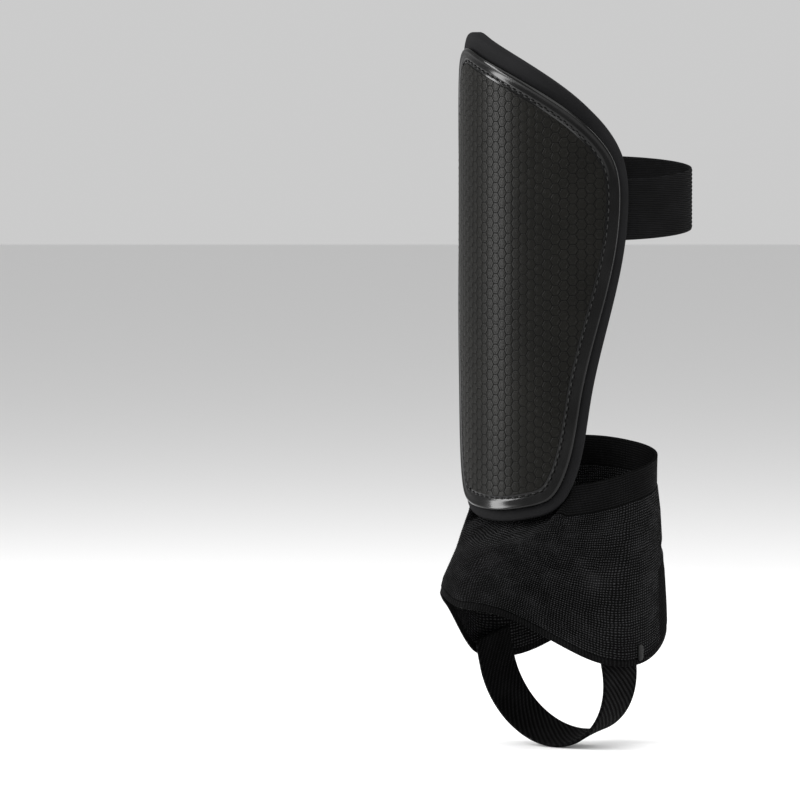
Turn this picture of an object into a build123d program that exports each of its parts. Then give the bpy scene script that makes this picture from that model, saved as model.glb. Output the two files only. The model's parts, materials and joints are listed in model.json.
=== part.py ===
from build123d import *
import os
from math import cos, degrees, radians, sin

# Shin guard with a calf strap, an ankle sleeve and a stirrup. Millimetres.
# The leg's centre line is the Z axis, the guard's face looks along -Y, and
# z = 0 is the lower end of the guard's foam.

# Overall sizes of the pad, measured along its curved face
FACE_RADIUS = 65.0         # outer radius of the moulded plate's rim
PAD_HEIGHT = 241.5         # foam, from its lower end to its highest point
PAD_WIDTH = 135.4          # foam, at its widest
WIDEST = 0.64              # share of the height where it is widest

# Layers, from the face inwards
RIM_LIP = 0.6              # how far the plate's rim stands above its middle
FACING_WALL = 0.4          # printed facing, laid in the plate's middle
PLATE_WALL = 2.0
FOAM_WALL = 6.2
LINING_WALL = 0.8
GLUE_LINE = 0.02           # between layers that are bonded or sewn together

# Borders between the outlines
BORDER_SIDE = 5.0          # foam beyond the plate
BORDER_TOP = 8.0
BORDER_BOTTOM = 5.5
RIM_WIDTH = 5.0            # plate's glossy rim
STITCH_CHANNEL = 2.4       # between the rim and the facing

# Stitches round the plate
STITCH_PITCH = 4.0
STITCH_LENGTH = 2.6
THREAD = 0.5

# Calf strap
STRAP_WIDTH = 30.0
STRAP_WALL = 1.6
STRAP_TILT = 4.9           # degrees, rising away from the near end
STRAP_REACH = 50.0         # how far the loop's outer face goes behind the leg
STRAP_GAP = 0.4            # clearance from the lining and between its ends
ANCHOR_LENGTH = 16.0       # strap sewn flat inside the pad's edge
HOOK_LENGTH = 26.0
HOOK_WALL = 1.0
LOOP_LENGTH = 34.0
LOOP_WALL = 0.8
PATCH_MARGIN = 1.0         # of bare strap along each edge of a patch
STRAP_PAST = 0.8           # from the pad's edge to the strap's hinge line
STRAP_HEADING = 132.5      # degrees in plan, the way that the strap rises
HINGE_GAP = 1.0            # from the strap's hinge line to each of its ends
EDGE_MARGIN = 3.5          # degrees from the strap's exit to each patch
ROW_SHARE = 2 / 3          # of the strap's width that each row of thread crosses

# Ankle sleeve
SLEEVE_RIM = 31.0          # height of the rim on the leg's centre line
RIM_CLEAR = 15.0           # from there to the top of the form that it is cut from
SLEEVE_GAP = 0.3           # from the lining to the sleeve's front
SLEEVE_WALL = 1.8
# Height, half width, how far the front stands before the lining, and back
SLEEVE_SECTIONS = (
    (SLEEVE_RIM + RIM_CLEAR, 40.0, 0.0, 30.5),
    (16.0, 40.0, 0.0, 30.5),
    (0.0, 41.0, 0.0, 33.0),
    (-14.0, 42.0, 20.9, 35.0),
    (-28.0, 42.0, 33.9, 37.5),
    (-44.0, 42.0, 39.9, 40.0),
    (-80.0, 41.5, 42.9, 43.0),
)
RIM_SLOPE_X = -0.12
RIM_SLOPE_Y = 0.17
WELT_HEIGHT = 15.0
FLEX_TOP = 4.0             # the band that gives as the ankle bends
FLEX_BOTTOM = -20.0
HEM_WIDTH = 3.5
GUSSET_FRONT = 12.0
GUSSET_TOP = -24.0
SEAM_GAP = 0.05
SEAM_TURN = 5.0            # degrees between the threads of a row
SEAM_HALF = 4              # threads on each side of a row's middle
SEAM_ROWS = 6.0            # height between the two rows
SEAM_RISE = 1.0            # from the band that gives to the lower row
# Lower edge of the sleeve from the side: share of its depth from the front, and height
HEM_LINE = ((0.007, -38), (0.071, -43.5), (0.199, -56), (0.383, -68.5), (0.553, -73.5),
            (0.709, -71.5), (0.837, -63), (0.993, -48))

# Stirrup
STIRRUP_WIDTH = 25.0
STIRRUP_WALL = 1.8
STIRRUP_GAP = 1.6          # from the cuff's inside to each leg
STIRRUP_TOP = -58.0
STIRRUP_BOTTOM = -112.5
STIRRUP_HINGE_Z = -66.0
STIRRUP_BACK = 3.0         # from the middle of the cuff's depth to the stirrup's
STIRRUP_SWING = 14.5       # degrees, how far it hangs towards the heel
STIRRUP_DEPTH = 40.0       # how far the curved part hangs below the straight legs
BARTACK = (2.6, 3.2, 8.0)  # thickness, depth and height of a knot of thread
BARTACK_BACK = 16.5        # from the stirrup's middle to each knot
BARTACK_ROUND = 0.8        # radius of its edges

FACE_MIDDLE = FACE_RADIUS - RIM_LIP
PLATE_BACK = FACE_MIDDLE - PLATE_WALL
FOAM_BACK = PLATE_BACK - FOAM_WALL
LINING_BACK = FOAM_BACK - LINING_WALL
HOOK_SEAT = LINING_BACK - LOOP_WALL - STRAP_GAP - HOOK_WALL
STRAP_TURN = degrees(PAD_WIDTH / 2 / FACE_RADIUS + STRAP_PAST / LINING_BACK)
SLEEVE_SEAT = LINING_BACK - SLEEVE_GAP
STIRRUP_HALF = SLEEVE_SECTIONS[-1][1] - SLEEVE_WALL - STIRRUP_GAP - STIRRUP_WALL / 2
OUTLINE_STEPS = 36
TALL = 600.0


def pad_outline():
    """The foam's outline laid out flat: across is arc length, up is height."""
    w = PAD_WIDTH / 2
    h = PAD_HEIGHT
    points = [
        (0, 0), (0.25 * w, 0.010 * h), (0.43 * w, 0.028 * h), (0.58 * w, 0.088 * h),
        (0.715 * w, 0.26 * h), (0.855 * w, 0.42 * h), (0.97 * w, 0.56 * h),
        (1.0 * w, WIDEST * h), (0.955 * w, 0.75 * h), (0.72 * w, 0.84 * h),
        (0.30 * w, 0.92 * h), (-0.06 * w, 0.965 * h), (-0.32 * w, 0.990 * h),
        (-0.50 * w, 1.0 * h), (-0.72 * w, 0.965 * h), (-0.85 * w, 0.88 * h),
        (-0.965 * w, 0.75 * h), (-1.0 * w, WIDEST * h), (-0.97 * w, 0.55 * h),
        (-0.87 * w, 0.42 * h), (-0.775 * w, 0.26 * h), (-0.69 * w, 0.10 * h),
        (-0.54 * w, 0.026 * h), (-0.28 * w, 0.003 * h),
    ]
    return Spline(*points, periodic=True)


def inset_points(side, top, bottom, steps=OUTLINE_STEPS):
    """Points of the outline moved inwards by a gap that turns from side to end."""
    flat = pad_outline()
    moved = []
    for i in range(steps):
        at = flat.position_at(i / steps)
        along = flat.tangent_at(i / steps)
        inward = Vector(-along.Y, along.X)
        end = top if inward.Y < 0 else bottom
        gap = side * inward.X ** 2 + end * inward.Y ** 2
        moved.append(at + inward * gap)
    return moved


def on_cylinder(arc, height, radius):
    turn = arc / FACE_RADIUS
    return Vector(radius * sin(turn), -radius * cos(turn), height)


def curved_face(points, radius):
    """A piece of the cylinder of this radius, inside the points' outline."""
    seen = [on_cylinder(p.X, p.Y, radius) for p in points]
    outline = Spline(*[(v.X, 0, v.Z) for v in seen], periodic=True)
    prism = extrude(Face(Wire(outline)), amount=2 * FACE_RADIUS, dir=(0, -1, 0))
    sheet = Cylinder(radius, TALL).faces().filter_by(GeomType.CYLINDER)[0]
    return (sheet & prism).faces()[0]


def layer(points, outer, inner):
    """A curved layer whose edge walls run square to the face."""
    return thicken(curved_face(points, outer), amount=inner - outer)


def plate_outline(further=0.0):
    """The plate's outline, or one this much further in."""
    return inset_points(BORDER_SIDE + further, BORDER_TOP + further,
                        BORDER_BOTTOM + further)


def shell_plate():
    """Moulded plate, hollowed a little inside its raised rim."""
    hollow = layer(plate_outline(RIM_WIDTH), FACE_RADIUS + RIM_LIP, FACE_MIDDLE)
    return layer(plate_outline(), FACE_RADIUS, PLATE_BACK) - hollow


def hex_facing():
    """Printed facing laid in the plate's middle, inside the stitches."""
    inside = plate_outline(RIM_WIDTH + STITCH_CHANNEL)
    return layer(inside, FACE_MIDDLE + FACING_WALL, FACE_MIDDLE + GLUE_LINE)


def foam_pad():
    return layer(inset_points(0, 0, 0), PLATE_BACK - GLUE_LINE, FOAM_BACK)


def inner_lining():
    return layer(inset_points(0, 0, 0), FOAM_BACK - GLUE_LINE, LINING_BACK)


def thread(middle, heading, out):
    """One stitch lying flat on a wall that faces out."""
    seat = Plane(origin=middle, x_dir=heading, z_dir=out)
    return seat * Box(STITCH_LENGTH, 2 * THREAD, THREAD)


def stitch(arc, height, radius, along):
    """A stitch on the cylinder, along a direction in the flat outline."""
    turn = arc / FACE_RADIUS
    out = Vector(sin(turn), -cos(turn), 0)
    round_leg = Vector(cos(turn), sin(turn), 0)
    heading = round_leg * along.X + Vector(0, 0, along.Y)
    return thread(on_cylinder(arc, height, radius), heading, out)


def plate_stitching():
    """Threads in the channel between the plate's rim and its facing."""
    points = plate_outline(RIM_WIDTH + STITCH_CHANNEL / 2)
    line = Spline(*[(p.X, p.Y) for p in points], periodic=True)
    count = round(line.length / STITCH_PITCH)
    radius = FACE_MIDDLE + THREAD / 2 + SEAM_GAP
    threads = []
    for i in range(count):
        at = line.position_at(i / count)
        threads.append(stitch(at.X, at.Y, radius, line.tangent_at(i / count)))
    return Compound(children=threads)


def arc_wall(inner, outer, start, end):
    """A wall round the leg, between two turns in degrees from the front."""
    width = end - start
    ring = Cylinder(outer, TALL) - Cylinder(inner, TALL)
    wedge = CenterArc((0, 0), 2 * outer, start - 90, width)
    sector = make_face([Line((0, 0), wedge @ 0), wedge, Line(wedge @ 1, (0, 0))])
    return ring & extrude(sector, amount=TALL / 2, both=True)


def strap_slab(width):
    """The tilted slab that the strap lies in, through its sewn end."""
    heading = radians(STRAP_HEADING)
    lean = radians(STRAP_TILT)
    normal = (-sin(lean) * cos(heading), -sin(lean) * sin(heading), cos(lean))
    sewn = on_cylinder(radians(STRAP_TURN) * FACE_RADIUS, WIDEST * PAD_HEIGHT, LINING_BACK)
    seat = Plane(origin=sewn, z_dir=normal)
    return seat * Box(TALL, TALL, width)


def strap_anchor():
    """The strap's sewn end, flat inside the pad's edge."""
    end = STRAP_TURN - degrees(HINGE_GAP / LINING_BACK)
    start = STRAP_TURN - degrees(ANCHOR_LENGTH / LINING_BACK)
    face = LINING_BACK - GLUE_LINE
    return arc_wall(face - STRAP_WALL, face, start, end) & strap_slab(STRAP_WIDTH)


def calf_strap():
    """The free strap, from the pad's edge behind the calf to the hook tab."""
    near = LINING_BACK - STRAP_GAP - STRAP_WALL / 2
    first = STRAP_TURN + degrees(HINGE_GAP / near)
    start = Vector(near * sin(radians(first)), -near * cos(radians(first)))
    far = HOOK_SEAT - STRAP_WALL / 2
    end = Vector(-far * sin(radians(STRAP_TURN)), -far * cos(radians(STRAP_TURN)))
    back = Vector(0, STRAP_REACH - STRAP_WALL / 2)
    loop = ThreePointArc(start, back, end)
    tail = CenterArc((0, 0), far, -90 - STRAP_TURN, degrees(HOOK_LENGTH / far))
    band = trace([loop, tail], line_width=STRAP_WALL)
    return extrude(band, amount=TALL / 2, both=True) & strap_slab(STRAP_WIDTH)


def hook_patch():
    start = -STRAP_TURN + EDGE_MARGIN
    end = -STRAP_TURN + degrees(HOOK_LENGTH / HOOK_SEAT)
    wall = arc_wall(HOOK_SEAT + GLUE_LINE, HOOK_SEAT + HOOK_WALL, start, end)
    return wall & strap_slab(STRAP_WIDTH - 2 * PATCH_MARGIN)


def loop_patch():
    start = -STRAP_TURN + EDGE_MARGIN
    end = start + degrees(LOOP_LENGTH / LINING_BACK)
    face = LINING_BACK - GLUE_LINE
    return arc_wall(LINING_BACK - LOOP_WALL, face, start, end) & strap_slab(STRAP_WIDTH - 2 * PATCH_MARGIN)


def anchor_stitching():
    """Two upright rows through the strap's sewn end."""
    radius = LINING_BACK - STRAP_WALL - THREAD / 2 - SEAM_GAP
    middle = STRAP_TURN - degrees(ANCHOR_LENGTH / 2 / LINING_BACK)
    apart = degrees(ANCHOR_LENGTH / 4 / LINING_BACK)
    length = ROW_SHARE * STRAP_WIDTH
    low = WIDEST * PAD_HEIGHT - length / 2
    threads = []
    for turn in (middle - apart, middle + apart):
        for i in range(int(length / STITCH_PITCH) + 1):
            arc = radians(turn) * FACE_RADIUS
            threads.append(stitch(arc, low + i * STITCH_PITCH, radius, Vector(0, 1)))
    return Compound(children=threads)


def sleeve_oval(height, wall):
    """Middle depth, half width and half depth of the sleeve at a height."""
    above = [section for section in SLEEVE_SECTIONS if section[0] >= height][-1]
    below = [section for section in SLEEVE_SECTIONS if section[0] <= height][0]
    rise = above[0] - below[0]
    share = (height - below[0]) / rise if rise else 0
    half, before, back = [b + share * (a - b) for a, b in zip(above[1:], below[1:])]
    front = -SLEEVE_SEAT - before
    return (front + back) / 2, half - wall, (back - front) / 2 - wall


def sleeve_section(height, wall):
    """One oval section, this far inside the sleeve's outer face."""
    middle, half, deep = sleeve_oval(height, wall)
    return (Pos(0, middle, height) * Ellipse(half, deep)).wire()


def sleeve_body(wall):
    """The sleeve's form, this far inside its outer face, behind the lining."""
    wires = [sleeve_section(section[0], wall) for section in SLEEVE_SECTIONS]
    return Solid.make_loft(wires, ruled=True)


def above_rim(drop):
    """Everything above the sleeve's rim, or above a line lower by a drop."""
    seat = Plane(origin=(0, 0, SLEEVE_RIM - drop), z_dir=(-RIM_SLOPE_X, -RIM_SLOPE_Y, 1))
    return seat * (Pos(0, 0, TALL / 2) * Box(TALL, TALL, TALL))


def below_hem(rise):
    """Everything below the sleeve's lower edge, or a line higher by a rise."""
    front = SLEEVE_SEAT + SLEEVE_SECTIONS[-1][2]
    deep = front + SLEEVE_SECTIONS[-1][3]
    line = Spline(*[(share * deep - front, z + rise) for share, z in HEM_LINE])
    first = line @ 0
    last = line @ 1
    low = -TALL / 2
    corners = ((TALL, last.Y), (TALL, low), (-TALL, low), (-TALL, first.Y))
    edge = Polyline(last, *corners, first)
    side = Plane.YZ * make_face([line, edge])
    return extrude(side, amount=TALL / 2, both=True)


def slab_between(low, high):
    return Pos(0, 0, (low + high) / 2) * Box(TALL, TALL, high - low)


def sleeve_parts():
    """The sleeve's wall, divided where one piece is sewn or knitted to the next."""
    solid = sleeve_body(0) - above_rim(0) - below_hem(0)
    tube = solid - sleeve_body(SLEEVE_WALL)
    welt = tube & above_rim(WELT_HEIGHT)
    leg = (tube - above_rim(WELT_HEIGHT)) & slab_between(FLEX_TOP, TALL / 2)
    flex = (tube - above_rim(WELT_HEIGHT)) & slab_between(FLEX_BOTTOM, FLEX_TOP)
    foot = tube & slab_between(-TALL / 2, FLEX_BOTTOM)
    hem = foot & below_hem(HEM_WIDTH)
    panel = foot - below_hem(HEM_WIDTH)
    heel = Pos(0, GUSSET_FRONT + TALL / 2, GUSSET_TOP - TALL / 2) * Box(TALL, TALL, TALL)
    return {
        "sleeve_top_welt": welt,
        "sleeve_leg_tube": leg,
        "ankle_flex_band": flex,
        "foot_cuff": panel - heel,
        "heel_gusset": panel & heel,
        "cuff_hem": hem,
    }


def sleeve_thread(turn, height):
    """A stitch across the inside of the sleeve's front."""
    middle, half, deep = sleeve_oval(height, SLEEVE_WALL + SEAM_GAP + THREAD / 2)
    turn = radians(turn)
    place = (half * sin(turn), middle - deep * cos(turn), height)
    heading = Vector(half * cos(turn), deep * sin(turn), 0)
    return thread(place, heading, Vector(heading.Y, -heading.X, 0))


def sleeve_stitching():
    """Two rows that hold the sleeve's front to the lining."""
    low = FLEX_TOP + SEAM_RISE
    threads = []
    for height in (low, low + SEAM_ROWS):
        for i in range(-SEAM_HALF, SEAM_HALF + 1):
            threads.append(sleeve_thread(i * SEAM_TURN, height))
    return Compound(children=threads)


def stirrup_depth():
    """Where the stirrup's middle is, along the depth of the cuff."""
    return sleeve_oval(STIRRUP_HINGE_Z, 0)[0] + STIRRUP_BACK


def stirrup_side(grow):
    """The U that one face of the stirrup follows, seen from the front."""
    half = STIRRUP_HALF + grow
    spring = STIRRUP_BOTTOM + STIRRUP_DEPTH
    bowl = Pos(0, spring) * Ellipse(half, STIRRUP_DEPTH + grow)
    lower = Pos(0, spring - TALL / 2) * Rectangle(TALL, TALL)
    legs = Pos(0, (spring + STIRRUP_TOP) / 2) * Rectangle(2 * half, STIRRUP_TOP - spring)
    return (bowl & lower) + legs


def stirrup_strap():
    """Elastic band under the foot, sewn inside the cuff's two lobes."""
    band = stirrup_side(STIRRUP_WALL / 2) - stirrup_side(-STIRRUP_WALL / 2)
    upright = extrude(Plane.XZ * band, amount=STIRRUP_WIDTH / 2, both=True)
    hinge = Axis((0, stirrup_depth(), STIRRUP_HINGE_Z), (1, 0, 0))
    placed = Pos(0, stirrup_depth(), 0) * upright
    return placed.rotate(hinge, STIRRUP_SWING)


def bartack(side):
    """The knot of thread over one sewn end of the stirrup."""
    thick, deep, tall = BARTACK
    knot = fillet(Box(thick, deep, tall).edges(), BARTACK_ROUND)
    middle, half, depth = sleeve_oval(STIRRUP_HINGE_Z + tall / 2, 0)
    back = stirrup_depth() + BARTACK_BACK
    from_middle = (back - deep / 2 - middle) / depth
    across = half * (1 - from_middle ** 2) ** 0.5 + SEAM_GAP + thick / 2
    return Pos(side * across, back, STIRRUP_HINGE_Z) * knot


def build():
    parts = {
        "shell_plate": shell_plate(),
        "hex_facing": hex_facing(),
        "foam_pad": foam_pad(),
        "inner_lining": inner_lining(),
        "plate_stitching": plate_stitching(),
        "strap_anchor": strap_anchor(),
        "anchor_stitching": anchor_stitching(),
        "calf_strap": calf_strap(),
        "hook_patch": hook_patch(),
        "loop_patch": loop_patch(),
        "sleeve_stitching": sleeve_stitching(),
        "stirrup_strap": stirrup_strap(),
        "bartack_left": bartack(-1),
        "bartack_right": bartack(1),
    }
    parts.update(sleeve_parts())
    return parts


os.makedirs("parts", exist_ok=True)
for name, shape in build().items():
    export_step(shape, f"parts/{name}.step")
    print(name, round(shape.volume), "mm3")
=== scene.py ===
# %% [markdown]
# # A shin guard in cells
# The guard is a stiff curved plate on a foam pad. Soft things hang from it: an elastic
# strap for the calf, a knitted sleeve for the ankle and a stirrup for the foot. The packed
# model gives every size and place. Here each part is built again, in metres and in the
# same place, with the shape and finish that a rigid model leaves out.

# %% Load the frame
import json
from math import asin, atan2, cos, degrees, hypot, pi, radians, sin, tan

import bmesh
import bpy
import numpy as np
from mathutils import Matrix, Vector


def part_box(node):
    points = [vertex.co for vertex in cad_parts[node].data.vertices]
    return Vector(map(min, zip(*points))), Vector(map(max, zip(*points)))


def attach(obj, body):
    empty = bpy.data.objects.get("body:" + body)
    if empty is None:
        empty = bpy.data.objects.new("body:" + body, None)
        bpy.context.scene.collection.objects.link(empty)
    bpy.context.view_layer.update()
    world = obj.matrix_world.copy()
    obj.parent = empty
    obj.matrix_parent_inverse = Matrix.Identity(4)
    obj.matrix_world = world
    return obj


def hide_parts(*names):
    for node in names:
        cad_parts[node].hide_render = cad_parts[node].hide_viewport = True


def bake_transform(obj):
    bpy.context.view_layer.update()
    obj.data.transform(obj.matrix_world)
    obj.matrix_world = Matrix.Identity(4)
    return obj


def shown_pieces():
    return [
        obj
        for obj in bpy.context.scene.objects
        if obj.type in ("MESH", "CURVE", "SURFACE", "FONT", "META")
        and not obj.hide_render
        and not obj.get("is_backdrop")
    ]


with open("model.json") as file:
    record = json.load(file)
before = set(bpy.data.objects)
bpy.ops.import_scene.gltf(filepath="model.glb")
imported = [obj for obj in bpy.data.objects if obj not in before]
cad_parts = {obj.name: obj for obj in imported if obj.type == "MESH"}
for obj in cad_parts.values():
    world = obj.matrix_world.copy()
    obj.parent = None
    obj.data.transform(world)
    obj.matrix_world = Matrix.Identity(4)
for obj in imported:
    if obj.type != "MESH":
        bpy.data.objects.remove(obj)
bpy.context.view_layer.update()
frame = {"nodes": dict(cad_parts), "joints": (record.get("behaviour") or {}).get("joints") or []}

MM = 0.001
print("nodes in the frame:", len(frame["nodes"]))

# %% [markdown]
# ## Sizes
# The leg's centre line is the Z axis and the guard looks along -Y, so the lowest Y of a
# curved layer's box is its radius. The other sizes follow from the boxes too.

# %% Radii and heights from the frame
plate_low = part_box("shell_plate")[0]
foam_low, foam_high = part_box("foam_pad")
RIM_RADIUS = -plate_low[1]
FOAM_RADIUS = -foam_low[1]
RIM_LIP = 0.6 * MM
LINING_WALL = 0.8 * MM
PLATE_RADIUS = RIM_RADIUS - RIM_LIP
FOAM_BACK = -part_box("inner_lining")[0][1]
LINING_BACK = FOAM_BACK - LINING_WALL
PAD_HALF = RIM_RADIUS * asin(foam_high[0] / FOAM_RADIUS)
PAD_HEIGHT = foam_high[2]
print(f"pad {2000 * PAD_HALF:.0f} mm round its face, {1000 * PAD_HEIGHT:.0f} mm tall")

# %% [markdown]
# ## Camera
# The guard is seen from the front and its +X side, almost level, through a long lens.
# It stands to the right of the frame's middle, so the camera is moved sideways, square to
# its own view, and its shift stays at nought.

# %% The camera
CAMERA_AZIMUTH = 42.5
CAMERA_ELEVATION = 3.5
CAMERA_DISTANCE = 4.0
VIEW_WIDTH = 0.4                     # metres across the view at the leg's line
MIDDLE_ACROSS = -0.094
MIDDLE_UP = 0.0574


def view_axes(azimuth, elevation):
    """The view's right, its up and the way towards the camera."""
    a, e = radians(azimuth), radians(elevation)
    right = Vector((cos(a), sin(a), 0))
    back = Vector((sin(a) * cos(e), -cos(a) * cos(e), sin(e)))
    return right, back.cross(right), back


def add_camera():
    data = bpy.data.cameras.new("camera")
    data.sensor_width = 36
    data.lens = data.sensor_width * CAMERA_DISTANCE / VIEW_WIDTH
    data.clip_end = 10
    camera = bpy.data.objects.new("camera", data)
    bpy.context.collection.objects.link(camera)
    right, up, back = view_axes(CAMERA_AZIMUTH, CAMERA_ELEVATION)
    turn = Matrix((right, up, back)).transposed()
    place = right * MIDDLE_ACROSS + up * MIDDLE_UP + back * CAMERA_DISTANCE
    camera.matrix_world = Matrix.Translation(place) @ turn.to_4x4()
    bpy.context.scene.camera = camera
    return camera


camera = add_camera()
print("lens", round(camera.data.lens), "mm")

# %% [markdown]
# ## Finishes
# Everything is black, so the finishes differ in gloss, grain and weave, hardly in colour.
# Each one is a Principled shader with its roughness and bump from procedural textures.
# Hard parts read Object coordinates. Knits and straps read their own UV map, which is in
# millimetres, so that the threads follow the cloth.


# %% A hand for building node trees
class Nodes:
    """Adds nodes to a tree: the kind, then its inputs in order or by name."""

    def __init__(self, tree):
        self.tree = tree

    def set(self, socket, value):
        if isinstance(value, bpy.types.NodeSocket):
            self.tree.links.new(value, socket)
        elif value is not None:
            socket.default_value = value

    def __call__(self, kind, *inputs, named=None, **settings):
        node = self.tree.nodes.new(kind)
        for key, value in settings.items():
            setattr(node, key, value)
        for index, value in enumerate(inputs):
            self.set(node.inputs[index], value)
        for key, value in (named or {}).items():
            self.set(node.inputs[key], value)
        return node

    def math(self, operation, a, b=None, clamp=False):
        kind = "ShaderNodeMath"
        return self(kind, a, b, operation=operation, use_clamp=clamp).outputs[0]

    def between(self, value, low, high, to_low, to_high):
        return self("ShaderNodeMapRange", value, low, high, to_low, to_high).outputs[0]


# %% Bump, noise and mottled colour
def start_finish(name):
    """A new material with its hand for nodes and its Principled shader."""
    material = bpy.data.materials.new(name)
    material.use_nodes = True
    shader = material.node_tree.nodes["Principled BSDF"]
    return material, Nodes(material.node_tree), shader


def noise(n, where, scale, detail=2.0):
    named = {"Vector": where, "Scale": scale, "Detail": detail}
    return n("ShaderNodeTexNoise", named=named).outputs["Fac"]


def colour_from(n, value, dark, light):
    """A colour that runs from dark to light with the value."""
    ramp = n("ShaderNodeValToRGB", value)
    ramp.color_ramp.elements[0].color = (*dark, 1)
    ramp.color_ramp.elements[0].position = 0.3
    ramp.color_ramp.elements[1].color = (*light, 1)
    ramp.color_ramp.elements[1].position = 0.7
    return ramp.outputs["Color"]


def bump(n, height, distance, strength=1.0, under=None):
    named = {"Height": height, "Distance": distance, "Strength": strength}
    if under is not None:
        named["Normal"] = under
    return n("ShaderNodeBump", named=named).outputs["Normal"]


def grey(value, blue=1.0):
    return (value, value, value * blue)


# %% [markdown]
# ### Moulded plastic, pressed film and foam
# The rim is polished: low roughness, with a faint ripple from the mould. The film is
# satin and has a fine grain, which is what breaks its highlights into sparkle. Foam is
# rough all over, with closed cells a few tenths of a millimetre across.

# %% Hard finishes and foam
def gloss_plastic():
    material, n, shader = start_finish("gloss_plastic")
    where = n("ShaderNodeTexCoord").outputs["Object"]
    smear = noise(n, where, 60, 4)
    tint = colour_from(n, smear, grey(0.002), grey(0.004))
    n.set(shader.inputs["Base Color"], tint)
    n.set(shader.inputs["Roughness"], n.between(smear, 0.3, 0.7, 0.10, 0.20))
    ripple = bump(n, noise(n, where, 220), 0.00004, 0.35)
    n.set(shader.inputs["Normal"], bump(n, noise(n, where, 2600), 0.00001, 0.3, ripple))
    shader.inputs["Specular IOR Level"].default_value = 0.18
    return material


def pressed_film():
    material, n, shader = start_finish("pressed_film")
    where = n("ShaderNodeTexCoord").outputs["Object"]
    cloud = noise(n, where, 25, 3)
    grain = noise(n, where, 5200, 2)
    tint = colour_from(n, cloud, (0.0030, 0.0029, 0.0024), (0.0052, 0.0050, 0.0042))
    n.set(shader.inputs["Base Color"], tint)
    n.set(shader.inputs["Roughness"], n.between(grain, 0.3, 0.7, 0.28, 0.44))
    n.set(shader.inputs["Normal"], bump(n, grain, 0.00003, 0.5))
    shader.inputs["Specular IOR Level"].default_value = 0.065
    return material


def groove_shade_film():
    material, n, shader = start_finish("groove_shade_film")
    where = n("ShaderNodeTexCoord").outputs["Object"]
    grain = noise(n, where, 3000, 2)
    # Painted shade: this film is darker than the cells' own film, for the grooves between the
    # cells and for the needle holes, where shade falls.
    n.set(shader.inputs["Base Color"], colour_from(n, grain, grey(0.001), grey(0.002)))
    n.set(shader.inputs["Roughness"], n.between(grain, 0.3, 0.7, 0.5, 0.7))
    shader.inputs["Specular IOR Level"].default_value = 0.05
    return material


def foam():
    material, n, shader = start_finish("foam")
    where = n("ShaderNodeTexCoord").outputs["Object"]
    cells = n("ShaderNodeTexVoronoi", named={"Vector": where, "Scale": 2100.0})
    cloud = noise(n, where, 45, 4)
    tint = colour_from(n, cloud, grey(0.0045, 1.06), grey(0.008, 1.06))
    n.set(shader.inputs["Base Color"], tint)
    n.set(shader.inputs["Roughness"], n.between(cloud, 0.3, 0.7, 0.78, 0.92))
    soft = bump(n, noise(n, where, 420, 3), 0.00008, 0.5)
    n.set(shader.inputs["Normal"], bump(n, cells.outputs["Distance"], 0.00006, 0.7, soft))
    shader.inputs["Specular IOR Level"].default_value = 0.06
    return material


GLOSS = gloss_plastic()
FILM = pressed_film()
GROOVE_SHADE = groove_shade_film()
FOAM = foam()
print("hard finishes:", GLOSS.name, FILM.name, GROOVE_SHADE.name, FOAM.name)

# %% [markdown]
# ### Knit, elastic and thread
# A knit is rows of loops. Two waves across each other make a grid of small knots, bumped
# and painted lighter than the yarn as a painted highlight, and noise shifts them, because
# yarn is never even. Elastic is the same with long floats one way. The twill of the
# stirrup is one wave, turned.

# %% Cloth finishes
def uv_mm(n, turn=0.0):
    """The piece's UV map in millimetres, turned by an angle."""
    uv = n("ShaderNodeUVMap", uv_map="cloth").outputs[0]
    return n("ShaderNodeMapping", uv, None, (0, 0, turn)).outputs[0]


def threads(n, where, pitch, axis, wander=0.0):
    """A wave that repeats every pitch millimetres along one axis of the UV map."""
    named = {"Vector": where, "Scale": 1 / (pitch * 3.1831), "Distortion": wander}
    named["Detail"] = 1.0
    wave = n("ShaderNodeTexWave", named=named, wave_type="BANDS", bands_direction=axis)
    return wave.outputs["Fac"]


def cloth(name, dark, light, rows, columns, depth, turn=0.0, wander=1.2, sheen=0.0,
          ridge=0.0, gloss=0.025):
    """Cloth with threads every so many millimetres, down and across."""
    material, n, shader = start_finish(name)
    where = uv_mm(n, turn)
    down = threads(n, where, rows, "Y", wander)
    across = threads(n, where, columns, "X", wander)
    knots = n.math("MULTIPLY", down, across)
    fuzz = noise(n, where, 2.2, 3)
    cloud = noise(n, where, 0.06, 3)
    height = n.math("ADD", knots, n.math("MULTIPLY", fuzz, 0.45))
    height = n.math("ADD", height, n.math("MULTIPLY", down, ridge))
    # The base colour is lighter on the knots, a painted highlight for the glint of each loop;
    # the slow cloud is the yarn's own uneven tone.
    glint_and_tone = n.math("ADD", n.math("MULTIPLY", knots, 0.55), n.math("MULTIPLY", cloud, 0.5))
    n.set(shader.inputs["Base Color"], colour_from(n, glint_and_tone, dark, light))
    n.set(shader.inputs["Roughness"], n.between(knots, 0.0, 1.0, 0.92, 0.45))
    n.set(shader.inputs["Normal"], bump(n, height, depth, 0.9))
    shader.inputs["Specular IOR Level"].default_value = gloss
    shader.inputs["Sheen Weight"].default_value = sheen
    shader.inputs["Sheen Roughness"].default_value = 0.4
    return material


# The knit's light colour, far above its dark one, is mostly the painted glint of its knots.
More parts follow.
